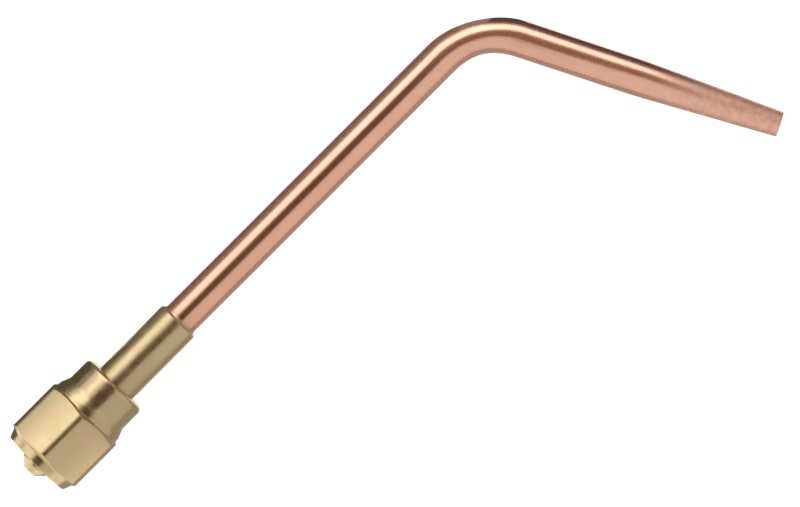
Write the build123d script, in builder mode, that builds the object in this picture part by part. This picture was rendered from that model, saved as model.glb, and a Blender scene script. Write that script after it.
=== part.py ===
from build123d import *
from math import cos, pi, radians, sin, tan
import os

# Gas welding nozzle: coupling nut, gas mixer and a bent, swaged tip tube.
# The origin is on the mixer's axis in the plane of the nut's mouth. +X runs from
# the mouth along the barrel to the bend, the bend lies in the XY plane and turns
# the tip towards -Y, and +Z is square to the bend. Sizes are in millimetres.

# Coupling nut
hex_across_flats = 22.2         # 7/8 in hexagon bar
hex_edge_round = 2.2            # between one flat and the next
nut_length = 28.8
collar_mouth_radius = 9.5       # turned collar in front of the hexagon, slightly conical
collar_radius = 10.4            # where the hexagon begins
collar_length = 2.3
front_chamfer_angle = 28.0      # from the plane of the mouth, from the collar up to the flats
flat_end = 17.6                 # mouth to the back edge of a flat, at its middle
back_chamfer_angle = 60.0       # from the axis, from the flats down to the land
land_radius = 10.45             # turned land behind the hexagon, slightly conical
land_end_radius = 10.25
land_length = 1.4
shoulder_cone_length = 2.2      # from the land down to the shoulder
shoulder_radius = 9.3
shoulder_cove_radius = 2.5      # where that cone runs into the shoulder
shoulder_end_round = 1.6
thread_minor_radius = 8.75      # 3/4 in thread, 16 turns to the inch, cut as a plain bore
thread_length = 12.5
thread_entry_chamfer = 0.35
thread_relief_radius = 9.6      # clears the thread's major radius behind it
nut_seat_depth = 17.0           # mouth to the seat that bears on the flange

# Mixer body, front end
nose_stand_out = 2.8            # nose in front of the nut's mouth
nose_flat_radius = 1.8
nose_round = 0.8                # between the nose's cone and its pilot
nose_pilot_radius = 3.97        # 5/16 in pilot
nose_pilot_end = 5.8            # station where the pilot steps up
seal_pilot_radius = 5.6
neck_radius = 5.0               # relief between the seal pilot and the flange
neck_length = 1.8
flange_radius = 8.3
flange_thickness = 2.4

# Mixer body, barrel
barrel_radius = 5.75
barrel_end = 51.4               # station of the tube socket's mouth
barrel_end_chamfer = 0.4

# Gas ways
oxygen_bore_radius = 1.1
jet_radius = 0.45
jet_start = 7.6
jet_length = 1.6
mixing_bore_radius = 2.0
mixing_bore_end = 27.0
port_count = 4
port_radius = 0.55
port_angle = 40.0               # between a fuel port and the axis
outlet_bore_radius = 2.6

# Seal rings
seal_section_radius = 0.89
seal_stand_out = 0.25           # rubber proud of its pilot, which the socket squeezes
seal_groove_width = 2.1
seal_groove_clearance = 0.02
front_seal_station = 3.6
rear_seal_station = 10.0

# Mixing spiral
spiral_start = 13.0
spiral_length = 12.0
spiral_thickness = 0.8
spiral_clearance = 0.04
spiral_twist = 360.0
spiral_steps = 16

# Tip tube
tube_radius = 4.7625            # 3/8 in copper tube
tube_bore_radius = 3.1
socket_depth = 10.0
corner_station = 158.6          # where the two straight axes cross
bend_angle = 63.3
bend_radius = 20.4
bend_flattening = 0.32          # taken off each side in the plane of the bend
bend_sections = 7
corner_to_tip = 81.9
taper_length = 37.8
tip_radius = 3.3
orifice_radius = 0.75
orifice_length = 6.0
tip_edge_round = 0.3
swage_blend_length = 3.0        # each side of the place where the taper begins

# Clearances between pieces
nut_running_clearance = 0.08    # radial, nut on barrel
nut_end_clearance = 0.2         # axial, nut seat to flange
socket_clearance = 0.05         # radial braze gap, tube in socket


def turned(points):
    """Half section of a turned piece as one closed outline of (station, radius)."""
    with BuildLine() as outline:
        Polyline(*points, close=True)
    return outline.line


def corner(sketch, station, radius):
    """The sketch corner nearest to a station and radius."""
    return sketch.vertices().sort_by_distance((station, radius))[0]


# Coupling nut: collar, hexagon chamfered at both ends, land, and a turned shoulder
flat_distance = hex_across_flats / 2
hex_corner_radius = flat_distance / cos(radians(30))
blank_radius = hex_corner_radius + 1
front_slope = tan(radians(front_chamfer_angle))
back_slope = 1 / tan(radians(back_chamfer_angle))
front_chamfer_end = collar_length + (blank_radius - collar_radius) * front_slope
back_chamfer_start = flat_end - (blank_radius - flat_distance) * back_slope
land_start = flat_end + (flat_distance - land_radius) * back_slope
land_end = land_start + land_length
shoulder_start = land_end + shoulder_cone_length
nut_bore_radius = barrel_radius + nut_running_clearance

with BuildPart() as coupling_nut:
    with BuildSketch(Plane.YZ) as hexagon:
        RegularPolygon(flat_distance, 6, major_radius=False, rotation=90)
        fillet(hexagon.vertices(), hex_edge_round)
    extrude(amount=nut_length)
    with BuildSketch() as nut_outline:
        make_face(turned([
            (0, 0),
            (0, collar_mouth_radius),
            (collar_length, collar_radius),
            (front_chamfer_end, blank_radius),
            (back_chamfer_start, blank_radius),
            (land_start, land_radius),
            (land_end, land_end_radius),
            (shoulder_start, shoulder_radius),
            (nut_length, shoulder_radius),
            (nut_length, 0),
        ]))
        fillet(corner(nut_outline, shoulder_start, shoulder_radius), shoulder_cove_radius)
        fillet(corner(nut_outline, nut_length, shoulder_radius), shoulder_end_round)
    revolve(axis=Axis.X, mode=Mode.INTERSECT)
    with BuildSketch() as nut_hollow:
        make_face(turned([
            (0, 0),
            (0, thread_minor_radius + thread_entry_chamfer),
            (thread_entry_chamfer, thread_minor_radius),
            (thread_length, thread_minor_radius),
            (thread_length, thread_relief_radius),
            (nut_seat_depth, thread_relief_radius),
            (nut_seat_depth, nut_bore_radius),
            (nut_length, nut_bore_radius),
            (nut_length, 0),
        ]))
    revolve(axis=Axis.X, mode=Mode.SUBTRACT)
coupling_nut.part.label = "coupling_nut"


# Mixer body: conical nose, two seal pilots, the flange that the nut pulls on and
# the barrel with the tube socket
nose_cone_end = nose_pilot_radius - nose_flat_radius - nose_stand_out
pilot_step_end = nose_pilot_end + seal_pilot_radius - nose_pilot_radius
flange_back = nut_seat_depth - nut_end_clearance
flange_front = flange_back - flange_thickness
neck_start = flange_front - neck_length
socket_floor = barrel_end - socket_depth
socket_radius = tube_radius + socket_clearance
jet_end = jet_start + jet_length
port_mouth_radius = (nose_pilot_radius + seal_pilot_radius) / 2
port_mouth_station = (nose_pilot_end + pilot_step_end) / 2
port_run = port_mouth_radius / sin(radians(port_angle))


def seal_floor(pilot_radius):
    """Radius of a seal groove's floor in a pilot."""
    return pilot_radius + seal_stand_out - 2 * seal_section_radius - seal_groove_clearance


with BuildPart() as mixer_body:
    with BuildSketch() as mixer_outline:
        make_face(turned([
            (-nose_stand_out, 0),
            (-nose_stand_out, nose_flat_radius),
            (nose_cone_end, nose_pilot_radius),
            (nose_pilot_end, nose_pilot_radius),
            (pilot_step_end, seal_pilot_radius),
            (neck_start, seal_pilot_radius),
            (neck_start, neck_radius),
            (flange_front, neck_radius),
            (flange_front, flange_radius),
            (flange_back, flange_radius),
            (flange_back, barrel_radius),
            (barrel_end, barrel_radius),
            (barrel_end, 0),
        ]))
        fillet(corner(mixer_outline, nose_cone_end, nose_pilot_radius), nose_round)
        chamfer(corner(mixer_outline, barrel_end, barrel_radius), barrel_end_chamfer)
    revolve(axis=Axis.X)
    with BuildSketch():
        make_face(turned([
            (-nose_stand_out, 0),
            (-nose_stand_out, oxygen_bore_radius),
            (jet_start, oxygen_bore_radius),
            (jet_start, jet_radius),
            (jet_end, jet_radius),
            (jet_end, mixing_bore_radius),
            (mixing_bore_end, mixing_bore_radius),
            (mixing_bore_end, outlet_bore_radius),
            (socket_floor, outlet_bore_radius),
            (socket_floor, socket_radius),
            (barrel_end, socket_radius),
            (barrel_end, 0),
        ]))
    revolve(axis=Axis.X, mode=Mode.SUBTRACT)
    for station, pilot in (
        (front_seal_station, nose_pilot_radius),
        (rear_seal_station, seal_pilot_radius),
    ):
        with BuildSketch():
            with Locations((station, seal_floor(pilot))):
                Rectangle(seal_groove_width, pilot, align=(Align.CENTER, Align.MIN))
        revolve(axis=Axis.X, mode=Mode.SUBTRACT)
    for index in range(port_count):
        turn = Rotation((index + 0.5) * 360 / port_count, 0, 0)
        inward = (cos(radians(port_angle)), 0, -sin(radians(port_angle)))
        mouth = Plane((port_mouth_station, 0, port_mouth_radius), z_dir=inward)
        with BuildSketch(turn * mouth.offset(-port_radius)):
            Circle(port_radius)
        extrude(amount=port_run, mode=Mode.SUBTRACT)
mixer_body.part.label = "mixer_body"


# Seal rings, one in each groove
def seal_ring(station, pilot_radius):
    """Round-section ring that stands slightly proud of its pilot."""
    with BuildPart() as ring:
        with BuildSketch():
            with Locations((station, pilot_radius + seal_stand_out - seal_section_radius)):
                Circle(seal_section_radius)
        revolve(axis=Axis.X)
    return ring


front_seal_ring = seal_ring(front_seal_station, nose_pilot_radius)
front_seal_ring.part.label = "front_seal_ring"

rear_seal_ring = seal_ring(rear_seal_station, seal_pilot_radius)
rear_seal_ring.part.label = "rear_seal_ring"


# Mixing spiral: flat strip, twisted, held in the mixing bore
spiral_radius = mixing_bore_radius - spiral_clearance
spiral_width = 2 * (spiral_radius**2 - (spiral_thickness / 2) ** 2) ** 0.5

with BuildPart() as mixing_spiral:
    for step in range(spiral_steps + 1):
        share = step / spiral_steps
        section = Plane.YZ.offset(spiral_start + spiral_length * share)
        with BuildSketch(section):
            Rectangle(spiral_width, spiral_thickness, rotation=spiral_twist * share)
    loft(ruled=True)
mixing_spiral.part.label = "mixing_spiral"


# Tip tube: straight run from the socket's floor, bend, then a swaged run to the tip
tangent_length = bend_radius * tan(radians(bend_angle / 2))
bend_start = corner_station - tangent_length
taper_start = corner_to_tip - taper_length
tip_direction = (cos(radians(bend_angle)), -sin(radians(bend_angle)), 0)
tip_plane = Plane((corner_station, 0, 0), x_dir=tip_direction, z_dir=(0, 0, 1))
tip_axis = Axis((corner_station, 0, 0), tip_direction)
swage_slope = (tube_radius - tip_radius) / taper_length
swage_blend_radius = 2 * swage_blend_length / swage_slope

with BuildLine() as bend_path:
    JernArc(start=(bend_start, 0), tangent=(1, 0), radius=bend_radius, arc_size=-bend_angle)
bend_arc = bend_path.line


def bend_plane(share):
    """Section plane at a share of the bend, with its local Y in the plane of the bend."""
    return Plane(bend_arc @ share, x_dir=(0, 0, 1), z_dir=bend_arc % share)


with BuildPart() as tip_tube:
    with BuildSketch(Plane.YZ.offset(socket_floor)):
        Circle(tube_radius)
    extrude(amount=bend_start - socket_floor)
    for index in range(bend_sections):
        share = index / (bend_sections - 1)
        flattening = bend_flattening * sin(pi * share) ** 2
        with BuildSketch(bend_plane(share)):
            Ellipse(tube_radius + flattening / 2, tube_radius - flattening)
    sweep(path=bend_arc, multisection=True)
    with BuildSketch(tip_plane) as swage_outline:
        make_face(turned([
            (tangent_length, 0),
            (tangent_length, tube_radius),
            (taper_start, tube_radius),
            (corner_to_tip, tip_radius),
            (corner_to_tip, 0),
        ]))
        fillet(corner(swage_outline, taper_start, tube_radius), swage_blend_radius)
        fillet(corner(swage_outline, corner_to_tip, tip_radius), tip_edge_round)
    revolve(axis=tip_axis)
    with BuildSketch(Plane.YZ.offset(socket_floor)):
        Circle(tube_bore_radius)
    extrude(amount=bend_start - socket_floor, mode=Mode.SUBTRACT)
    with BuildSketch(bend_plane(0)):
        Circle(tube_bore_radius)
    sweep(path=bend_arc, mode=Mode.SUBTRACT)
    with BuildSketch(tip_plane):
        make_face(turned([
            (tangent_length, 0),
            (tangent_length, tube_bore_radius),
            (taper_start, tube_bore_radius),
            (corner_to_tip - orifice_length, orifice_radius),
            (corner_to_tip, orifice_radius),
            (corner_to_tip, 0),
        ]))
    revolve(axis=tip_axis, mode=Mode.SUBTRACT)
tip_tube.part.label = "tip_tube"


# One file for each piece
os.makedirs("parts", exist_ok=True)
export_step(coupling_nut.part, "parts/coupling_nut.step")
export_step(mixer_body.part, "parts/mixer_body.step")
export_step(front_seal_ring.part, "parts/front_seal_ring.step")
export_step(rear_seal_ring.part, "parts/rear_seal_ring.step")
export_step(mixing_spiral.part, "parts/mixing_spiral.step")
export_step(tip_tube.part, "parts/tip_tube.step")
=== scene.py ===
"""Looks of the gas welding nozzle: turned brass, drawn copper, rubber seals, a plain studio.

Lengths are in metres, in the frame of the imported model: +X along the barrel from the nut's
mouth to the bend, +Z square to the bend, the tip turning towards -Y. Only the lists that place
the studio's cards are in mm.
"""
import math

import bmesh
import bpy
import numpy as np
from mathutils import Matrix, Vector, noise


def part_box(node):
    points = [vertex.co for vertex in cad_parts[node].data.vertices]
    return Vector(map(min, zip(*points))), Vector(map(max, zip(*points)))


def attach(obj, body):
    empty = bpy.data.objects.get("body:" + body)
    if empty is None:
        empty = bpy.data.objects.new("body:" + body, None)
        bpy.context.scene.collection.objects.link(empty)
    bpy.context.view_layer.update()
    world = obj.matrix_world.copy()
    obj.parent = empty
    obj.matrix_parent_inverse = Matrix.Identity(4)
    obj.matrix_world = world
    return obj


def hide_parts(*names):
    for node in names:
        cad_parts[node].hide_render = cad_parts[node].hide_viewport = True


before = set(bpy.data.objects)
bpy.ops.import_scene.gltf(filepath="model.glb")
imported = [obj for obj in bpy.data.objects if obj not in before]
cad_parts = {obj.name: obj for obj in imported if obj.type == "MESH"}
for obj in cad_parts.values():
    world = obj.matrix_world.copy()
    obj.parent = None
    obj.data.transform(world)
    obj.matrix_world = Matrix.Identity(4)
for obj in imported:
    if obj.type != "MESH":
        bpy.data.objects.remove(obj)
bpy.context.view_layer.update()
scene = bpy.context.scene

MM = 0.001
SIXTH = math.pi / 3                 # of a turn
arc_piece = 10                      # degrees that one piece of a rounded corner turns, at most

# Sizes read from the frame
nut_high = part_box("coupling_nut")[1]
mixer_low, mixer_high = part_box("mixer_body")
tube_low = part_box("tip_tube")[0]
flat_distance = nut_high[1]
nut_length = nut_high[0]
nose_end = mixer_low[0]
flange_radius = mixer_high[1]
barrel_end = mixer_high[0]
socket_floor = tube_low[0]

# Coupling nut, outside
hex_edge_blend = 1.15 * MM          # rounds the long edges
flat_crown = 0.30 * MM              # how far a flat falls away towards its long edges
chamfer_edge_round = 0.25 * MM
flat_end_round = 0.6 * MM
collar_mouth_radius = 9.5 * MM
collar_radius = 10.4 * MM
collar_length = 2.3 * MM
collar_mouth_round = 0.35 * MM
collar_edge_round = 0.2 * MM
front_chamfer_angle = math.radians(28)
flat_end = 17.6 * MM                # station of the back edge of a flat, at its middle
back_chamfer_angle = math.radians(60)
land_radius = 10.45 * MM
land_end_radius = 10.25 * MM
land_length = 1.4 * MM
land_foot_round = 0.5 * MM
land_end_round = 0.8 * MM
shoulder_cone_length = 2.2 * MM
shoulder_radius = 9.3 * MM
shoulder_cove_radius = 2.5 * MM
shoulder_end_round = 1.6 * MM
facing_reach = math.radians(50)     # how far round the axis a flat is worked out
drawn_at_edge = 0.45                # share of the drawn surface left on a worn long edge
edge_wear_width = math.radians(8)

# Coupling nut, inside
thread_minor_radius = 8.75 * MM
thread_pitch = 25.4 / 16 * MM
thread_depth = 0.72 * MM
thread_crest = 0.16                 # share of the pitch that is left flat at a crest
thread_length = 12.5 * MM
thread_fade = 1.0 * MM              # the cut deepens over this run at each end
thread_entry = 0.35 * MM
thread_root_share = 0.97            # share of a sharp V's depth that the cut reaches
thread_root_round = 0.12            # as a share of the same depth
thread_end_round = 0.05 * MM
thread_mouth_round = 0.06 * MM
thread_rows = 108                   # rings of faces along the thread
thread_relief_radius = 9.6 * MM
thread_relief_round = 0.3 * MM
nut_seat_depth = 17.0 * MM
nut_bore_radius = 5.83 * MM

# Mixer body
nose_flat_radius = 1.8 * MM
nose_flat_round = 0.2 * MM
nose_round = 0.8 * MM
nose_pilot_radius = 3.97 * MM
nose_pilot_end = 5.8 * MM
seal_pilot_radius = 5.6 * MM
neck_radius = 5.0 * MM
neck_length = 1.8 * MM
flange_thickness = 2.4 * MM
flange_gap = 0.2 * MM
flange_round = 0.2 * MM
sharp_edge_angle = math.radians(50)
barrel_radius = 5.75 * MM
barrel_end_chamfer = 0.4 * MM
barrel_end_round = 0.08 * MM
small_round = 0.12 * MM             # broken edges of the turned parts
oxygen_bore_radius = 1.1 * MM
jet_radius = 0.45 * MM
jet_start = 7.6 * MM
jet_end = 9.2 * MM
mixing_bore_radius = 2.0 * MM
mixing_bore_end = 27.0 * MM
outlet_bore_radius = 2.6 * MM
seal_section_radius = 0.89 * MM
seal_stand_out = 0.25 * MM
seal_groove_width = 2.1 * MM
seal_groove_clearance = 0.02 * MM
groove_edge_round = 0.08 * MM
groove_floor_round = 0.1 * MM
pilot_step_round = 0.2 * MM
front_seal_station = 3.6 * MM
rear_seal_station = 10.0 * MM
port_count = 4
port_radius = 0.55 * MM
port_angle = math.radians(40)

# Tip tube
tube_radius = 4.7625 * MM
tube_bore_radius = 3.1 * MM
socket_clearance = 0.05 * MM
corner_station = 158.6 * MM
bend_angle = math.radians(63.3)
bend_radius = 20.4 * MM
bend_flattening = 0.32 * MM
corner_to_tip = 81.9 * MM
taper_length = 37.8 * MM
swage_blend_length = 3.0 * MM
tip_radius = 3.3 * MM
tip_edge_round = 0.3 * MM
orifice_radius = 0.75 * MM
orifice_length = 6.0 * MM
orifice_edge_round = 0.12 * MM
swage_unevenness = 0.026 * MM       # hammered surface of the taper
tube_unevenness = 0.003 * MM
lump_size = 4.0 * MM
lump_sink = 0.75                    # keeps the lumps from standing out of the plain tube
swage_lead = 5 * MM                 # the hammered look starts this far before the taper
swage_run = 28 * MM                 # and is full after this length
bend_lead = 4 * MM                  # the same for the faint dulling of the bent stretch
bend_run = 8 * MM
bent_share = 0.10
even_run = 5 * MM                   # the tube is smooth at the barrel and uneven after this
braze_heat = 0.5                    # colour left by brazing, right at the bead
braze_heat_reach = 1.6 * MM         # and the length that it fades over
tube_painted_shade = 0.35                    # painted shade in the same brown, fading along the tube, darker towards the barrel
tube_painted_shade_reach = 35 * MM

# Braze bead at the socket's mouth
bead_length = 0.87 * MM
bead_unevenness = 0.07 * MM
bead_wave_size = 2.4 * MM
bead_wave_circle = 6 * MM           # radius of the circle that its waves are read along
bead_wave_lengthening = 2.5         # the bead's length varies this much more than its height
bead_in_barrel = 0.12 * MM          # the bead reaches this far into the barrel's end
bead_foot_inset = 0.05 * MM         # and its foot stands this far inside the chamfer
bead_buried_inset = 0.1 * MM        # its hidden front edge lies this much closer to the tube
bead_in_tube = 0.04 * MM
bead_rows = 9
bead_hollow = 0.42                  # how far the fillet dips, as a share of its size
bead_dip_back = 0.35                # how much of the dip runs along the tube
bead_dip_in = 0.7                   # and towards its axis


# Mesh helpers

def turned_rows(corners, columns):
    """Rows of (station, radius) round a closed outline, with an arc at each rounded corner.

    A corner is (station, radius, rounding, pieces): station and radius may differ from
    column to column, and pieces divides the straight stretch that follows the corner.
    """
    places = np.array([
        np.stack([np.broadcast_to(x, columns), np.broadcast_to(r, columns)], axis=-1)
        for x, r, _, _ in corners
    ], dtype=float)
    rows = []
    ends = []
    for index, (_, _, rounding, _) in enumerate(corners):
        here = places[index]
        back = places[index - 1] - here
        ahead = places[(index + 1) % len(corners)] - here
        back /= np.linalg.norm(back, axis=-1, keepdims=True)
        ahead /= np.linalg.norm(ahead, axis=-1, keepdims=True)
        cosine = np.clip(np.sum(back * ahead, axis=-1, keepdims=True), -1, 1)
        turn = math.pi - np.arccos(cosine)
        if rounding == 0:
            ends.append([here])
            continue
        middle = back + ahead
        middle /= np.linalg.norm(middle, axis=-1, keepdims=True)
        centre = here + middle * rounding / np.cos(turn / 2)
        first = here + back * rounding * np.tan(turn / 2) - centre
        last = here + ahead * rounding * np.tan(turn / 2) - centre
        steps = max(3, math.ceil(math.degrees(turn.max()) / arc_piece))
        arc = []
        for share in np.linspace(0, 1, steps + 1):
            blend = np.sin((1 - share) * turn) * first + np.sin(share * turn) * last
            arc.append(centre + blend / np.sin(turn))
        ends.append(arc)
    for index, (_, _, _, pieces) in enumerate(corners):
        rows.extend(ends[index])
        start = ends[index][-1]
        stop = ends[(index + 1) % len(corners)][0]
        for piece in range(1, pieces):
            rows.append(start + (stop - start) * piece / pieces)
    rows = np.array(rows)
    return rows[..., 0], rows[..., 1]


def ring_mesh(name, points, **marks):
    """Closed mesh from rows x columns of points, both ways joined to themselves."""
    rows, columns = points.shape[:2]
    row = np.arange(rows)[:, None]
    column = np.arange(columns)[None, :]
    row_after = (row + 1) % rows
    column_after = (column + 1) % columns
    quads = np.stack([
        row * columns + column,
        row * columns + column_after,
        row_after * columns + column_after,
        row_after * columns + column,
    ], axis=-1).reshape(-1, 4)
    mesh = bpy.data.meshes.new(name)
    mesh.from_pydata(points.reshape(-1, 3).tolist(), [], quads.tolist())
    for mark, values in marks.items():
        layer = mesh.attributes.new(mark, "FLOAT", "POINT")
        layer.data.foreach_set("value", np.broadcast_to(values, points.shape[:2]).ravel())
    shell = bmesh.new()
    shell.from_mesh(mesh)
    bmesh.ops.recalc_face_normals(shell, faces=shell.faces)
    shell.to_mesh(mesh)
    shell.free()
    mesh.shade_smooth()
    piece = bpy.data.objects.new(name, mesh)
    scene.collection.objects.link(piece)
    return piece


def even_normals(piece, keep_sharp=False):
    """Large faces set the shading, so that a flat beside a small rounding stays flat."""
    weighted = piece.modifiers.new("even_normals", "WEIGHTED_NORMAL")
    weighted.mode = "FACE_AREA"
    weighted.keep_sharp = keep_sharp
    weighted.weight = 100


def around_x(station, radius, angle):
    """Points of a turned piece. Angle 0 is up, and a quarter turn from it is +Y."""
    return np.stack([station + 0 * angle, radius * np.sin(angle), radius * np.cos(angle)], axis=-1)


def soft_min(one, other, width):
    """The smaller of two lengths, blended over a width, which rounds the edge between them."""
    share = np.clip(0.5 + 0.5 * (other - one) / width, 0, 1)
    return other * (1 - share) + one * share - width * share * (1 - share)


def unevenness(points, size, seed):
    """Smooth noise between -1 and 1 at each point, with lumps of a size."""
    flat = points.reshape(-1, 3) / size + seed
    values = [noise.noise(Vector(place)) for place in flat]
    return np.array(values).reshape(points.shape[:2])


# Node helpers

def new_material(name):
    """Empty material, with its tree and its Principled shader."""
    material = bpy.data.materials.new(name)
    material.use_nodes = True
    tree = material.node_tree
    return material, tree, tree.nodes["Principled BSDF"]


def add_node(tree, kind, settings=None, **inputs):
    """Node of a kind. settings are its own properties, inputs are sockets or values."""
    made = tree.nodes.new(kind)
    for key, value in (settings or {}).items():
        setattr(made, key, value)
    for key, value in inputs.items():
        socket = made.inputs[int(key[1:])] if key[1:].isdigit() else made.inputs[key.replace("_", " ")]
        if isinstance(value, bpy.types.NodeSocket):
            tree.links.new(value, socket)
        else:
            socket.default_value = value
    return made


def stretched_noise(tree, scale, detail=2.0, roughness=0.5):
    """Noise over the piece's own coordinates, with lumps per metre along X, Y and Z."""
    place = add_node(tree, "ShaderNodeTexCoord").outputs["Object"]
    mapped = add_node(tree, "ShaderNodeMapping", Vector=place, Scale=scale).outputs[0]
    made = add_node(tree, "ShaderNodeTexNoise", Vector=mapped, Scale=1.0, Detail=detail, Roughness=roughness)
    return made.outputs["Fac"]


def between(tree, value, from_low, from_high, to_low, to_high):
    """A value carried smoothly from one range to another."""
    made = add_node(
        tree, "ShaderNodeMapRange", {"interpolation_type": "SMOOTHSTEP"},
        Value=value, From_Min=from_low, From_Max=from_high, To_Min=to_low, To_Max=to_high,
    )
    return made.outputs["Result"]


def mix_colour(tree, share, one, other):
    """Blend of two colours by a share."""
    made = add_node(tree, "ShaderNodeMix", {"data_type": "RGBA"}, _0=share, _6=one, _7=other)
    return made.outputs[2]


def mix_number(tree, share, one, other):
    """Blend of two numbers by a share."""
    made = add_node(tree, "ShaderNodeMix", {"data_type": "FLOAT"}, _0=share, _2=one, _3=other)
    return made.outputs[0]


# Materials

def machined_brass(name, roughness, longways=None, drawn_roughness=0.36):
    """Turned brass: rings left by the tool, a satin gloss, faint patches of warmer metal.

    longways names a mark that is 1 where the bar's own drawn surface is left, as on flats.
    """
    material, tree, shader = new_material(name)
    shader.inputs["Metallic"].default_value = 1.0
    patches = stretched_noise(tree, (130, 170, 170), detail=3.0)
    tint = between(tree, patches, 0.36, 0.66, 0.0, 1.0)
    yellow = (0.572, 0.464, 0.253, 1)
    warmer = (0.620, 0.456, 0.277, 1)
    colour = mix_colour(tree, tint, yellow, warmer)
    rings = stretched_noise(tree, (9000, 90, 90), detail=3.0, roughness=0.6)
    if longways:
        drawn = stretched_noise(tree, (110, 6000, 6000), detail=3.0, roughness=0.6)
        mark = add_node(tree, "ShaderNodeAttribute", {"attribute_name": longways}).outputs["Fac"]
        rings = mix_number(tree, mark, rings, drawn)
    cloud = stretched_noise(tree, (420, 420, 420), detail=4.0)
    satin = between(tree, cloud, 0.3, 0.7, roughness - 0.035, roughness + 0.035)
    if longways:
        bar = between(tree, cloud, 0.3, 0.7, drawn_roughness - 0.04, drawn_roughness + 0.04)
        satin = mix_number(tree, mark, satin, bar)
    ring_gloss = 0.10
    lined = add_node(
        tree, "ShaderNodeMath", {"operation": "MULTIPLY_ADD"}, _0=rings, _1=ring_gloss, _2=satin,
    )
    centred = add_node(
        tree, "ShaderNodeMath", {"operation": "SUBTRACT"}, _0=lined.outputs[0], _1=ring_gloss / 2,
    )
    bump = add_node(tree, "ShaderNodeBump", Strength=0.35, Distance=6e-6, Height=rings)
    tree.links.new(colour, shader.inputs["Base Color"])
    tree.links.new(centred.outputs[0], shader.inputs["Roughness"])
    tree.links.new(bump.outputs[0], shader.inputs["Normal"])
    return material


def drawn_copper(name):
    """Drawn copper tube: long fine draw lines, duller and uneven where it is swaged."""
    material, tree, shader = new_material(name)
    shader.inputs["Metallic"].default_value = 1.0
    swaged = add_node(tree, "ShaderNodeAttribute", {"attribute_name": "swaged"}).outputs["Fac"]
    # real brazing colour at the bead, plus painted shade that darkens the tube towards the barrel
    heated = add_node(tree, "ShaderNodeAttribute", {"attribute_name": "heated"}).outputs["Fac"]
    patches = stretched_noise(tree, (120, 120, 120), detail=3.0)
    tint = between(tree, patches, 0.35, 0.65, 0.0, 1.0)
    bright = (0.905, 0.515, 0.392, 1)
    deeper = (0.880, 0.490, 0.368, 1)
    dull_red = (0.865, 0.500, 0.385, 1)
    pale_pink = (0.945, 0.620, 0.515, 1)
    # brown of the brazing colour at the bead, also used for the painted shade along the tube
    heat_and_shade_brown = (0.74, 0.36, 0.24, 1)
    clean = mix_colour(tree, tint, bright, deeper)
    mottle = stretched_noise(tree, (620, 620, 620), detail=4.0, roughness=0.6)
    blotch = between(tree, mottle, 0.36, 0.64, 0.0, 1.0)
    hammered = mix_colour(tree, blotch, dull_red, pale_pink)
    worked = mix_colour(tree, swaged, clean, hammered)
    colour = mix_colour(tree, heated, worked, heat_and_shade_brown)
    lines = stretched_noise(tree, (60, 2600, 2600), detail=3.0, roughness=0.55)
    pecks = stretched_noise(tree, (1500, 1500, 1500), detail=4.0, roughness=0.6)
    smooth = between(tree, lines, 0.25, 0.75, 0.19, 0.25)
    dull = between(tree, pecks, 0.25, 0.75, 0.50, 0.62)
    gloss = mix_number(tree, swaged, smooth, dull)
    height = mix_number(tree, swaged, lines, pecks)
    depth = mix_number(tree, swaged, 5e-6, 1.4e-5)
    bump = add_node(tree, "ShaderNodeBump", Strength=0.25, Distance=depth, Height=height)
    tree.links.new(colour, shader.inputs["Base Color"])
    tree.links.new(gloss, shader.inputs["Roughness"])
    tree.links.new(bump.outputs[0], shader.inputs["Normal"])
    return material


def braze_alloy(name):
    """Silver braze: paler than the copper, rippled where it froze."""
    material, tree, shader = new_material(name)
    shader.inputs["Metallic"].default_value = 1.0
    patches = stretched_noise(tree, (700, 700, 700), detail=4.0)
    tint = between(tree, patches, 0.35, 0.65, 0.0, 1.0)
    coppery = (0.60, 0.36, 0.24, 1)
    silvery = (0.66, 0.47, 0.32, 1)
    colour = mix_colour(tree, tint, coppery, silvery)
    ripples = stretched_noise(tree, (2500, 1200, 1200), detail=3.0)
    gloss = between(tree, ripples, 0.3, 0.7, 0.28, 0.42)
    bump = add_node(tree, "ShaderNodeBump", Strength=0.4, Distance=2e-5, Height=ripples)
    tree.links.new(colour, shader.inputs["Base Color"])
    tree.links.new(gloss, shader.inputs["Roughness"])
    tree.links.new(bump.outputs[0], shader.inputs["Normal"])
    return material


def seal_rubber(name):
    """Moulded black rubber with a faint bloom."""
    material, tree, shader = new_material(name)
    shader.inputs["IOR"].default_value = 1.5
    patches = stretched_noise(tree, (900, 900, 900), detail=5.0)
    bloom = between(tree, patches, 0.35, 0.75, 0.0, 1.0)
    black = (0.016, 0.015, 0.014, 1)
    bloomed = (0.032, 0.031, 0.030, 1)
    colour = mix_colour(tree, bloom, black, bloomed)
    gloss = between(tree, patches, 0.3, 0.7, 0.42, 0.58)
    grain = stretched_noise(tree, (9000, 9000, 9000), detail=2.0)
    bump = add_node(tree, "ShaderNodeBump", Strength=0.3, Distance=8e-6, Height=grain)
    tree.links.new(colour, shader.inputs["Base Color"])
    tree.links.new(gloss, shader.inputs["Roughness"])
    tree.links.new(bump.outputs[0], shader.inputs["Normal"])
    return material


def dress(piece, material):
    """The piece wears one material."""
    piece.data.materials.clear()
    piece.data.materials.append(material)


nut_brass = machined_brass("nut_brass", 0.25, longways="flat")
mixer_brass = machined_brass("mixer_brass", 0.31)
tube_copper = drawn_copper("tube_copper")
bead_alloy = braze_alloy("bead_alloy")
rubber = seal_rubber("rubber")


# Coupling nut: a hexagon whose chamfers follow each direction round the axis

def hex_columns():
    """Angles round the hexagon, close together at its corners. Angle 0 is a corner."""
    half = np.radians([0, 0.8, 1.6, 2.4, 3.2, 4, 4.8, 5.6, 6.8, 8.5, 11, 14.5, 19, 24])
    sector = np.concatenate([half, [SIXTH / 2], SIXTH - half[:0:-1]])
    return np.concatenate([sector + SIXTH * side for side in range(6)])


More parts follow.
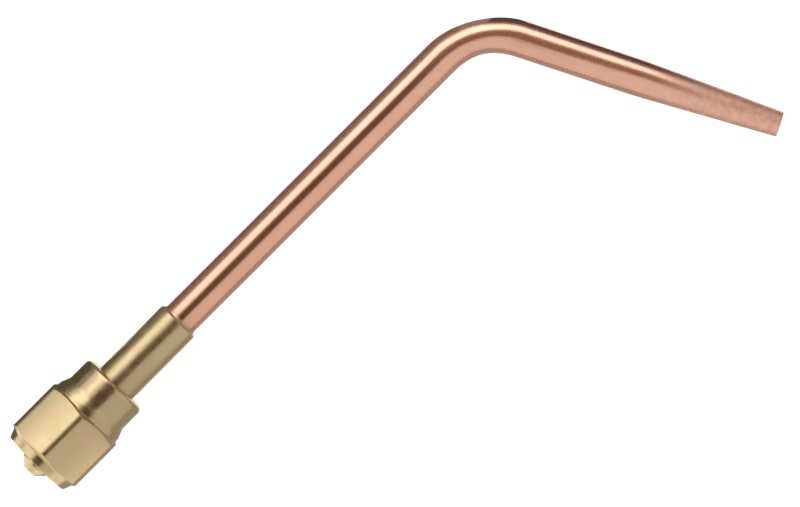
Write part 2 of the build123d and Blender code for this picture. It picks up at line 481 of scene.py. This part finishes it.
def hex_radius(angle):
    """Radius of the hexagon in each direction, with crowned flats and softened edges."""
    out_of_reach = 1.0
    beside = []
    for side in range(6):
        lean = angle - (side + 0.5) * SIXTH
        lean = (lean + math.pi) % (2 * math.pi) - math.pi
        facing = np.abs(lean) < facing_reach
        safe = np.where(facing, lean, 0)
        crown = flat_crown * (np.tan(safe) / math.tan(SIXTH / 2)) ** 2
        beside.append(np.where(facing, (flat_distance - crown) / np.cos(safe), out_of_reach))
    nearest = np.sort(np.array(beside), axis=0)
    return soft_min(nearest[0], nearest[1], hex_edge_blend)


def thread_cut(station, angle):
    """Depth of the internal thread at a station and an angle: a V with a rounded root."""
    turns = (station / thread_pitch + angle / (2 * math.pi)) % 1.0
    off_crest = np.clip((np.abs(turns - 0.5) - thread_crest / 2) / (0.5 - thread_crest / 2), 0, 1)
    rounded = soft_min(off_crest, np.full_like(off_crest, thread_root_share), thread_root_round)
    depth = thread_depth * rounded
    fade_in = np.clip(station / thread_fade, 0, 1)
    fade_out = np.clip((thread_length - station) / thread_fade, 0, 1)
    return np.maximum(depth, 0) * fade_in * fade_out


def make_nut():
    """Coupling nut with its collar, chamfer arcs, turned shoulder and cut thread."""
    angle = hex_columns()
    across = hex_radius(angle)
    flat_front = collar_length + (across - collar_radius) * math.tan(front_chamfer_angle)
    back_slope = 1 / math.tan(back_chamfer_angle)
    flat_back = flat_end - (across - flat_distance) * back_slope
    land_start = flat_end + (flat_distance - land_radius) * back_slope
    land_end = land_start + land_length
    entry_radius = thread_minor_radius + thread_entry
    station, radius = turned_rows([
        (0, collar_mouth_radius, collar_mouth_round, 4),
        (collar_length, collar_radius, collar_edge_round, 2),
        (flat_front, across, chamfer_edge_round, 10),
        (flat_back, across, flat_end_round, 2),
        (land_start, land_radius, land_foot_round, 2),
        (land_end, land_end_radius, land_end_round, 2),
        (land_end + shoulder_cone_length, shoulder_radius, shoulder_cove_radius, 6),
        (nut_length, shoulder_radius, shoulder_end_round, 3),
        (nut_length, nut_bore_radius, small_round, 8),
        (nut_seat_depth, nut_bore_radius, small_round, 3),
        (nut_seat_depth, thread_relief_radius, thread_relief_round, 5),
        (thread_length, thread_relief_radius, thread_end_round, 2),
        (thread_length, thread_minor_radius, 0, thread_rows),
        (thread_entry, thread_minor_radius, 0, 3),
        (0, entry_radius, thread_mouth_round, 1),
    ], len(angle))
    threaded = np.isclose(radius, thread_minor_radius, rtol=1e-4, atol=0)
    threaded &= (station >= thread_entry) & (station <= thread_length)
    radius = np.where(threaded, radius + thread_cut(station, angle[None, :]), radius)
    flat = (station > flat_front) & (station < flat_back) & (radius > land_radius)
    off_corner = np.abs((angle + SIXTH / 2) % SIXTH - SIXTH / 2)
    flat = flat * np.clip(drawn_at_edge + off_corner / edge_wear_width, 0, 1)
    nut = ring_mesh("nut_shell", around_x(station, radius, angle[None, :]), flat=flat)
    even_normals(nut)
    dress(nut, nut_brass)
    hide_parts("coupling_nut")
    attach(nut, "nut")
    return nut


# Mixer body: nose, pilots, flange and barrel, with its bores, seal grooves and fuel ports

def seal_groove(station, pilot_radius):
    """Four corners of a seal's groove, from the front to the back."""
    floor = pilot_radius + seal_stand_out - 2 * seal_section_radius - seal_groove_clearance
    front = station - seal_groove_width / 2
    back = station + seal_groove_width / 2
    return [
        (front, pilot_radius, groove_edge_round, 1),
        (front, floor, groove_floor_round, 1),
        (back, floor, groove_floor_round, 1),
        (back, pilot_radius, groove_edge_round, 1),
    ]


def port_drill(index):
    """Cutter for one fuel port, which runs inward and back from the step between pilots."""
    step_end = nose_pilot_end + seal_pilot_radius - nose_pilot_radius
    mouth_station = (nose_pilot_end + step_end) / 2
    mouth_radius = (nose_pilot_radius + seal_pilot_radius) / 2
    run = mouth_radius / math.sin(port_angle)
    inward = Vector((math.cos(port_angle), 0, -math.sin(port_angle)))
    start = Vector((mouth_station, 0, mouth_radius)) - inward * port_radius
    turn = Matrix.Rotation((index + 0.5) * 2 * math.pi / port_count, 4, "X")
    face_in = inward.to_track_quat("Z", "Y").to_matrix().to_4x4()
    shape = bmesh.new()
    place = turn @ Matrix.Translation(start + inward * run / 2) @ face_in
    bmesh.ops.create_cone(
        shape, cap_ends=True, segments=40, radius1=port_radius, radius2=port_radius, depth=run, matrix=place,
    )
    mesh = bpy.data.meshes.new("port_drill")
    shape.to_mesh(mesh)
    shape.free()
    drill = bpy.data.objects.new("port_drill", mesh)
    scene.collection.objects.link(drill)
    return drill


def drilled(piece, drills):
    """The piece with the drills cut out of it, as one plain mesh."""
    for drill in drills:
        cut = piece.modifiers.new("port", "BOOLEAN")
        cut.operation = "DIFFERENCE"
        cut.solver = "EXACT"
        cut.object = drill
    bpy.context.view_layer.update()
    whole = bpy.data.meshes.new_from_object(piece.evaluated_get(bpy.context.evaluated_depsgraph_get()))
    piece.modifiers.clear()
    piece.data = whole
    for drill in drills:
        bpy.data.objects.remove(drill)


def make_mixer():
    """Mixer body as one turned piece."""
    columns = 128
    angle = np.linspace(0, 2 * math.pi, columns, endpoint=False)
    cone_end = nose_end + nose_pilot_radius - nose_flat_radius
    step_end = nose_pilot_end + seal_pilot_radius - nose_pilot_radius
    flange_back = nut_seat_depth - flange_gap
    flange_front = flange_back - flange_thickness
    neck_start = flange_front - neck_length
    socket_radius = tube_radius + socket_clearance
    station, radius = turned_rows([
        (nose_end, oxygen_bore_radius, small_round, 2),
        (nose_end, nose_flat_radius, nose_flat_round, 4),
        (cone_end, nose_pilot_radius, nose_round, 4),
        *seal_groove(front_seal_station, nose_pilot_radius),
        (nose_pilot_end, nose_pilot_radius, small_round, 12),
        (step_end, seal_pilot_radius, pilot_step_round, 2),
        *seal_groove(rear_seal_station, seal_pilot_radius),
        (neck_start, seal_pilot_radius, small_round, 1),
        (neck_start, neck_radius, small_round, 2),
        (flange_front, neck_radius, small_round, 3),
        (flange_front, flange_radius, flange_round, 2),
        (flange_back, flange_radius, flange_round, 3),
        (flange_back, barrel_radius, small_round, 30),
        (barrel_end - barrel_end_chamfer, barrel_radius, small_round, 2),
        (barrel_end, barrel_radius - barrel_end_chamfer, barrel_end_round, 1),
        (barrel_end, socket_radius, 0, 8),
        (socket_floor, socket_radius, 0, 1),
        (socket_floor, outlet_bore_radius, 0, 8),
        (mixing_bore_end, outlet_bore_radius, 0, 1),
        (mixing_bore_end, mixing_bore_radius, 0, 10),
        (jet_end, mixing_bore_radius, 0, 1),
        (jet_end, jet_radius, 0, 2),
        (jet_start, jet_radius, 0, 1),
        (jet_start, oxygen_bore_radius, 0, 10),
    ], columns)
    mixer = ring_mesh("mixer_turned", around_x(station, radius, angle[None, :]))
    drilled(mixer, [port_drill(index) for index in range(port_count)])
    mixer.data.set_sharp_from_angle(angle=sharp_edge_angle)
    even_normals(mixer, keep_sharp=True)
    dress(mixer, mixer_brass)
    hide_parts("mixer_body")
    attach(mixer, "mixer")


# Tip tube: straight run, bend and swaged run, bored through

tangent_length = bend_radius * math.tan(bend_angle / 2)
bend_start = corner_station - tangent_length
bend_length = bend_radius * bend_angle
bend_end = bend_start + bend_length
tip_station = bend_end + corner_to_tip - tangent_length
taper_start = tip_station - taper_length


def along_tube(station, radius, angle):
    """Points of the tube from the distance along its axis. Angle 0 is up, +90 outward."""
    share = np.clip((station - bend_start) / bend_length, 0, 1)
    turned = share * bend_angle
    past = np.maximum(station - bend_end, 0)
    before = np.minimum(station, bend_start)
    axis_x = before + bend_radius * np.sin(turned) + past * np.cos(turned)
    axis_y = -bend_radius * (1 - np.cos(turned)) - past * np.sin(turned)
    flattening = bend_flattening * np.sin(math.pi * share) ** 2
    outward = radius * (1 - flattening / tube_radius) * np.sin(angle)
    upward = radius * (1 + flattening / 2 / tube_radius) * np.cos(angle)
    return np.stack([
        axis_x + outward * np.sin(turned),
        axis_y + outward * np.cos(turned),
        upward + 0 * axis_x,
    ], axis=-1)


def make_tube():
    """Copper tip tube, slightly uneven where it was swaged."""
    columns = 112
    angle = np.linspace(0, 2 * math.pi, columns, endpoint=False)[None, :]
    swage_slope = (tube_radius - tip_radius) / taper_length
    station, radius = turned_rows([
        (socket_floor, tube_radius, small_round, 30),
        (bend_start, tube_radius, 0, 30),
        (bend_end, tube_radius, 0, 6),
        (taper_start, tube_radius, 2 * swage_blend_length / swage_slope, 40),
        (tip_station, tip_radius, tip_edge_round, 4),
        (tip_station, orifice_radius, orifice_edge_round, 8),
        (tip_station - orifice_length, orifice_radius, 0, 16),
        (taper_start, tube_bore_radius, 0, 4),
        (bend_end, tube_bore_radius, 0, 24),
        (bend_start, tube_bore_radius, 0, 20),
        (socket_floor, tube_bore_radius, small_round, 2),
    ], columns)
    points = along_tube(station, radius, angle)
    outside = radius > (tip_radius - tip_edge_round)
    swaged = np.clip((station - taper_start + swage_lead) / swage_run, 0, 1)
    swaged = swaged * swaged * (3 - 2 * swaged)
    bent = np.clip((station - bend_start + bend_lead) / bend_run, 0, 1)
    swaged = np.maximum(swaged, bent_share * bent)
    depth = tube_unevenness + (swage_unevenness - tube_unevenness) * swaged
    depth = depth * np.clip((station - barrel_end) / even_run, 0, 1)
    lumps = unevenness(points, lump_size, seed=3.7)
    lumps += unevenness(points, lump_size / 2, seed=11.3) / 2
    radius = radius + np.where(outside, depth * (lumps - lump_sink), 0)
    # Browner copper: real brazing colour right at the bead, and painted shade that fades along the tube from
    # the barrel
    from_braze = np.clip(station - barrel_end, 0, 1)
    heated = braze_heat * np.exp(-from_braze / braze_heat_reach)
    heated += tube_painted_shade * np.exp(-from_braze / tube_painted_shade_reach)
    tube = ring_mesh("tube_drawn", along_tube(station, radius, angle), swaged=swaged, heated=heated)
    even_normals(tube)
    dress(tube, tube_copper)
    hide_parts("tip_tube")
    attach(tube, "mixer")
    return tube


def make_braze_bead():
    """Thin hollow fillet of braze between the barrel's end and the tube."""
    columns = 144
    angle = np.linspace(0, 2 * math.pi, columns, endpoint=False)
    foot = barrel_radius - barrel_end_chamfer - bead_foot_inset
    circle = np.stack([np.cos(angle), np.sin(angle), 0 * angle], axis=-1)[None, :] * bead_wave_circle
    wander = unevenness(circle, bead_wave_size, seed=5.1)[0] * bead_unevenness
    length = bead_length + bead_wave_lengthening * wander
    front = barrel_end - bead_in_barrel
    tube_face = tube_radius - bead_in_tube
    rows = [(front, tube_face), (front, foot - bead_buried_inset)]
    for share in np.linspace(0, 1, bead_rows):
        hollow = bead_hollow * math.sin(math.pi * share)
        left = 1 - share
        x = barrel_end + length * (share - bead_dip_back * hollow * left)
        r = foot + wander * left + (tube_face - foot) * (share + bead_dip_in * hollow * left)
        rows.append((x, np.maximum(r, tube_face)))
    station = np.array([np.broadcast_to(x, columns) for x, _ in rows])
    radius = np.array([np.broadcast_to(r, columns) for _, r in rows])
    bead = ring_mesh("braze_bead", around_x(station, radius, angle[None, :]))
    dress(bead, bead_alloy)
    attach(bead, "mixer")


nut_shell = make_nut()
make_mixer()
tube_drawn = make_tube()
make_braze_bead()
dress(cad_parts["front_seal_ring"], rubber)
dress(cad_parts["rear_seal_ring"], rubber)
dress(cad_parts["mixing_spiral"], mixer_brass)


# Floor: the flat side of the hull that the nozzle comes to rest on

balance_point = Vector((60, -7, 0)) * MM    # under the mass centre
smallest_rest = 200 * MM ** 2               # area between three places that carry the part
underside = -0.9 * tip_radius               # nothing above this height can touch the floor
least_upright = 0.9                         # Z of the floor's normal, at least
floor_reach = 3.0
floor_height = 0.02 * MM                    # air under the three places that touch
floor_glow = 0.62                           # what turns the lit paper white in the picture


def resting_plane(pieces):
    """Point and upward normal of the plane under the pieces that they rest on.

    Every plane under the hull touches it from below, and the one that carries the mass
    is the highest of them under the mass centre.
    """
    hull = bmesh.new()
    for piece in pieces:
        for vertex in piece.data.vertices:
            if vertex.co.z < underside:
                hull.verts.new(vertex.co)
    bmesh.ops.convex_hull(hull, input=hull.verts)
    middle = sum((vertex.co for vertex in hull.verts), Vector()) / len(hull.verts)
    best_level = -math.inf
    best = None
    for face in hull.faces:
        point = face.verts[0].co
        up = face.normal if face.normal.z > 0 else -face.normal
        if up.z < least_upright or up.dot(middle - point) < 0 or face.calc_area() < smallest_rest:
            continue
        level = point.z - up.xy.dot(balance_point.xy - point.xy) / up.z
        if level > best_level:
            best_level = level
            best = (point.copy(), up.copy())
    hull.free()
    return best


floor_point, floor_up = resting_plane([nut_shell, tube_drawn])


def flat_card(name, outline, material):
    """Stage card from a closed outline of corners."""
    mesh = bpy.data.meshes.new(name)
    mesh.from_pydata([tuple(corner) for corner in outline], [], [list(range(len(outline)))])
    card = bpy.data.objects.new(name, mesh)
    scene.collection.objects.link(card)
    dress(card, material)
    return card


def on_floor(x, y, lift=0.0):
    """Place on the floor under a point, lifted off it by a length."""
    across = floor_up.x * (x - floor_point.x) + floor_up.y * (y - floor_point.y)
    return Vector((x, y, floor_point.z - across / floor_up.z + lift))


def floor_paper():
    """White paper: it keeps the shadow, and shows white to the camera and in reflections."""
    material, tree, shader = new_material("floor_paper")
    material.cycles.emission_sampling = "NONE"
    tree.nodes.remove(shader)
    paper_white = (0.80, 0.80, 0.80, 1)
    paper = add_node(tree, "ShaderNodeBsdfDiffuse", Color=paper_white).outputs[0]
    rays = add_node(tree, "ShaderNodeLightPath").outputs
    seen = add_node(
        tree, "ShaderNodeMath", {"operation": "ADD"}, _0=rays["Is Camera Ray"], _1=rays["Is Glossy Ray"],
    )
    seen = add_node(
        tree, "ShaderNodeMath", {"operation": "ADD"}, _0=seen.outputs[0], _1=rays["Is Transmission Ray"],
    )
    lift = add_node(tree, "ShaderNodeMath", {"operation": "MULTIPLY"}, _0=seen.outputs[0], _1=floor_glow)
    glow = add_node(tree, "ShaderNodeEmission", Color=(1, 1, 1, 1), Strength=lift.outputs[0]).outputs[0]
    face = add_node(tree, "ShaderNodeAddShader", _0=paper, _1=glow).outputs[0]
    behind = add_node(tree, "ShaderNodeNewGeometry").outputs["Backfacing"]
    clear = add_node(tree, "ShaderNodeBsdfTransparent").outputs[0]
    open_below = add_node(tree, "ShaderNodeMixShader", _0=behind, _1=face, _2=clear).outputs[0]
    tree.links.new(open_below, tree.nodes["Material Output"].inputs[0])
    return material


flat_card("floor", [
    on_floor(x * floor_reach, y * floor_reach, -floor_height)
    for x, y in [(-1, -1), (1, -1), (1, 1), (-1, 1)]
], floor_paper())


# Studio: soft lights on the outer side, pale surroundings, and cards that only the metal sees

picture_right = Vector((0.7067, -0.7075, 0))
picture_up = Vector((0.7075, 0.7067, 0))
picture_centre = Vector((103.48, -27.80, 0)) * MM
brown = (1.0, 0.64, 0.34)
warm = (1.0, 0.86, 0.72)
plain = (1.0, 0.95, 0.93)
white = (1.0, 1.0, 1.0)
cool = (0.97, 1.0, 1.0)
overhead = 85                       # mm, height of the cards that hang over the tube


def studio_direction(turn, lean):
    """Direction that leans from straight up, turned in the picture from its right side."""
    turn = math.radians(turn)
    lean = math.radians(lean)
    level = picture_right * math.cos(turn) + picture_up * math.sin(turn)
    return level * math.sin(lean) + Vector((0, 0, math.cos(lean)))


def card_paint(name, level, tint):
    """Even brightness of a card."""
    material, tree, shader = new_material(name)
    material.cycles.emission_sampling = "NONE"
    tree.nodes.remove(shader)
    glow = add_node(tree, "ShaderNodeEmission", Color=(*tint, 1), Strength=level).outputs[0]
    tree.links.new(glow, tree.nodes["Material Output"].inputs[0])
    return material


def seen_in_metal_only(card):
    """The card shows in reflections alone."""
    card.visible_camera = False
    card.visible_diffuse = False
    card.visible_transmission = False
    card.visible_shadow = False


def bulged(value):
    """A sine or cosine, bent so that the circle it belongs to becomes a rounded square."""
    return math.copysign(math.sqrt(abs(value)), value)


def dome_card(name, turn, lean, half_width, half_height, distance, material):
    """Rounded card at a distance that faces the nozzle. Its half sizes are angles in degrees."""
    ahead = studio_direction(turn, lean)
    side = Vector((0, 0, 1)).cross(ahead).normalized()
    rise = ahead.cross(side)
    centre = picture_centre + ahead * distance
    wide = side * distance * math.tan(math.radians(half_width))
    tall = rise * distance * math.tan(math.radians(half_height))
    corners = []
    steps = 32
    for step in range(steps):
        angle = step * 2 * math.pi / steps
        corners.append(centre + wide * bulged(math.cos(angle)) + tall * bulged(math.sin(angle)))
    card = flat_card(name, corners, material)
    seen_in_metal_only(card)


def ribbon_card(name, rows, material):
    """Card that follows the tube, seen in the metal alone.

    Each row is a station along the tube's axis in mm, then the outward reach and the height
    of one long edge and of the other in mm.
    """
    rows = np.array(rows, dtype=float) * MM
    count = 60
    station = np.linspace(rows[0, 0], rows[-1, 0], count)
    edges = []
    for reach, height in ((1, 2), (3, 4)):
        outward = np.interp(station, rows[:, 0], rows[:, reach])
        edge = along_tube(station, outward, np.full_like(station, math.pi / 2))
        edge[:, 2] = np.interp(station, rows[:, 0], rows[:, height])
        edges.append(edge)
    quads = [(i, i + 1, count + i + 1, count + i) for i in range(count - 1)]
    mesh = bpy.data.meshes.new(name)
    mesh.from_pydata(np.concatenate(edges).tolist(), [], quads)
    card = bpy.data.objects.new(name, mesh)
    scene.collection.objects.link(card)
    dress(card, material)
    seen_in_metal_only(card)


def overhead_card(name, rows, material):
    """Ribbon that hangs level over the tube. A row is a station and both edges' reach, in mm."""
    level_rows = [(place, one, overhead, other, overhead) for place, one, other in rows]
    ribbon_card(name, level_rows, material)


def floor_card(name, outline, material):
    """Card just above the paper, seen in the metal alone. The corners are in mm."""
    lift = 0.05 * MM
    card = flat_card(name, [on_floor(x * MM, y * MM, lift) for x, y in outline], material)
    seen_in_metal_only(card)


def beside_tip(distance, outward):
    """Place on the paper from the bend's corner: along the run to the tip and outward, in mm."""
    return (
        corner_station / MM + distance * math.cos(bend_angle) + outward * math.sin(bend_angle),
        outward * math.cos(bend_angle) - distance * math.sin(bend_angle),
    )


def soft_light(name, turn, lean, distance, width, height, level):
    """Rectangular light that faces the nozzle, of a plain level."""
    ahead = studio_direction(turn, lean)
    light = bpy.data.lights.new(name, "AREA")
    light.shape = "RECTANGLE"
    light.size = width
    light.size_y = height
    light.energy = level * math.pi * width * height
    lamp = bpy.data.objects.new(name, light)
    lamp.location = picture_centre + ahead * distance
    lamp.rotation_euler = ahead.to_track_quat("Z", "Y").to_euler()
    lamp.visible_camera = False
    scene.collection.objects.link(lamp)


def add_lights():
    """Pale surroundings and three soft lights: one wide, one lower, and a small one for the bend."""
    world = bpy.data.worlds.new("studio")
    scene.world = world
    world.use_nodes = True
    background = world.node_tree.nodes["Background"]
    background.inputs["Color"].default_value = (1.0, 0.98, 0.95, 1)
    background.inputs["Strength"].default_value = 0.78
    world.cycles.sampling_method = "NONE"
    soft_light("key", turn=120, lean=51, distance=1.6, width=4.6, height=1.04, level=0.90)
    soft_light("front", turn=100, lean=65, distance=0.6, width=0.62, height=0.30, level=0.34)
    soft_light("bend", turn=100, lean=80, distance=0.5, width=0.14, height=0.18, level=0.75)


def add_dark_cards():
    """Cards that draw the dark lines along the barrel and the tube."""
    overhead_card("gap_over_barrel", [
        (-300, 30, -24),
        (40, 34, -25),
        (103, 42, -24),
        (146, 48, -21),
    ], card_paint("gap_card", 0.12, brown))
    overhead_card("gap_over_tip", [
        (146, 48, -21),
        (151, 55, -17),
        (157, 70, -12),
        (163, 64, -11),
        (175, 67, -11),
        (186, 70, -9),
        (198, 74, 5),
        (208, 78, 12),
        (222, 90, 4),
        (300, 90, 0),
    ], card_paint("pale_gap_card", 0.24, brown))
    dark = card_paint("dark_card", 0.17, warm)
    dome_card("horizon_by_barrel", 136, 88, half_width=26, half_height=10, distance=2.4, material=dark)
    dome_card("horizon_by_tip", 67, 88, half_width=30, half_height=10, distance=2.4, material=dark)
    ribbon_card("side_of_tip", [
        (212, 70, -4, 60, 20),
        (220, 70, -4, 55, 45),
        (300, 70, -4, 55, 45),
    ], card_paint("side_card", 0.18, warm))


def add_nut_cards():
    """Cards that set how bright each side of the nut is."""
    ribbon_card("beside_shoulder", [
        (17, -9, 32, -32, 2),
        (33, -9, 32, -32, 2),
        (39, -22, 32, -32, 2),
    ], card_paint("shoulder_card", 0.71, plain))
    ribbon_card("beside_hexagon", [
        (-40, -34, 21, -42, 0),
        (15, -34, 21, -42, 0),
    ], card_paint("hexagon_card", 1.15, plain))
    ribbon_card("low_over_flat", [
        (-40, 60, 36, 60, 25),
        (16, 60, 36, 60, 25),
    ], card_paint("low_flat_card", 0.84, cool))
    overhead_card("high_over_flat", [
        (-40, 78, 108),
        (12, 78, 108),
    ], card_paint("high_flat_card", 2.2, white))
    ribbon_card("over_shoulder", [
        (16, 60, 46, 60, 30),
        (27, 60, 46, 60, 30),
    ], card_paint("over_shoulder_card", 0.86, white))
    bright = card_paint("mouth_card", 1.45, plain)
    dome_card("before_mouth", 183, 58, half_width=20, half_height=20, distance=1.0, material=bright)


def add_floor_cards():
    """Dim cards on the paper for the metal's lower sides. White paper stays close to the tube."""
    bend = bend_start / MM
    under_tube = -4
    far = 400
    nut_to_barrel = [(36, 16), (36, far)]
    barrel_to_bend = [(bend + 6, under_tube), (bend + 170, far)]
    bend_to_tip = [(bend + 15, under_tube), (bend + 310, far)]
    floor_card("nut_floor_card", [
        (-6, 12),
        (-1, -2),
        *nut_to_barrel,
        (-150, far),
    ], card_paint("nut_card", 0.13, warm))
    floor_card("outer_floor_card", [
        nut_to_barrel[1],
        nut_to_barrel[0],
        (52, 6),
        (130, 6),
        *barrel_to_bend,
    ], card_paint("dim_card", 0.23, warm))
    floor_card("bend_floor_card", [
        barrel_to_bend[1],
        barrel_to_bend[0],
        *bend_to_tip,
    ], card_paint("bend_card", 0.30, plain))
    floor_card("tip_floor_card", [
        bend_to_tip[1],
        bend_to_tip[0],
        beside_tip(12.5, 8.2),
        beside_tip(350, 20),
        (600, -200),
        (600, far),
    ], card_paint("tip_card", 0.09, warm))
    floor_card("inner_floor_card", [
        (-12, under_tube),
        (-100, -350),
        beside_tip(350, 0),
        beside_tip(12.5, -1.8),
        (bend, under_tube),
        (80, under_tube),
        (50, -12),
        (36, -12),
    ], card_paint("inner_card", 0.44, plain))


add_lights()
add_dark_cards()
add_nut_cards()
add_floor_cards()


# Camera: straight above, rolled so that the barrel runs up to the right

def add_camera():
    """Long lens, because the photograph is almost without perspective."""
    picture_width = 204.32 * MM
    lens = 300.0
    sensor = 36.0
    camera = bpy.data.cameras.new("camera")
    camera.lens = lens
    camera.sensor_width = sensor
    camera.clip_start = 0.05
    camera.clip_end = 50
    holder = bpy.data.objects.new("camera", camera)
    distance = picture_width * lens / sensor
    turned = Matrix((picture_right, picture_up, Vector((0, 0, 1)))).transposed().to_4x4()
    holder.matrix_world = Matrix.Translation(picture_centre + Vector((0, 0, distance))) @ turned
    scene.collection.objects.link(holder)
    scene.camera = holder


add_camera()
scene.view_settings.view_transform = "Standard"
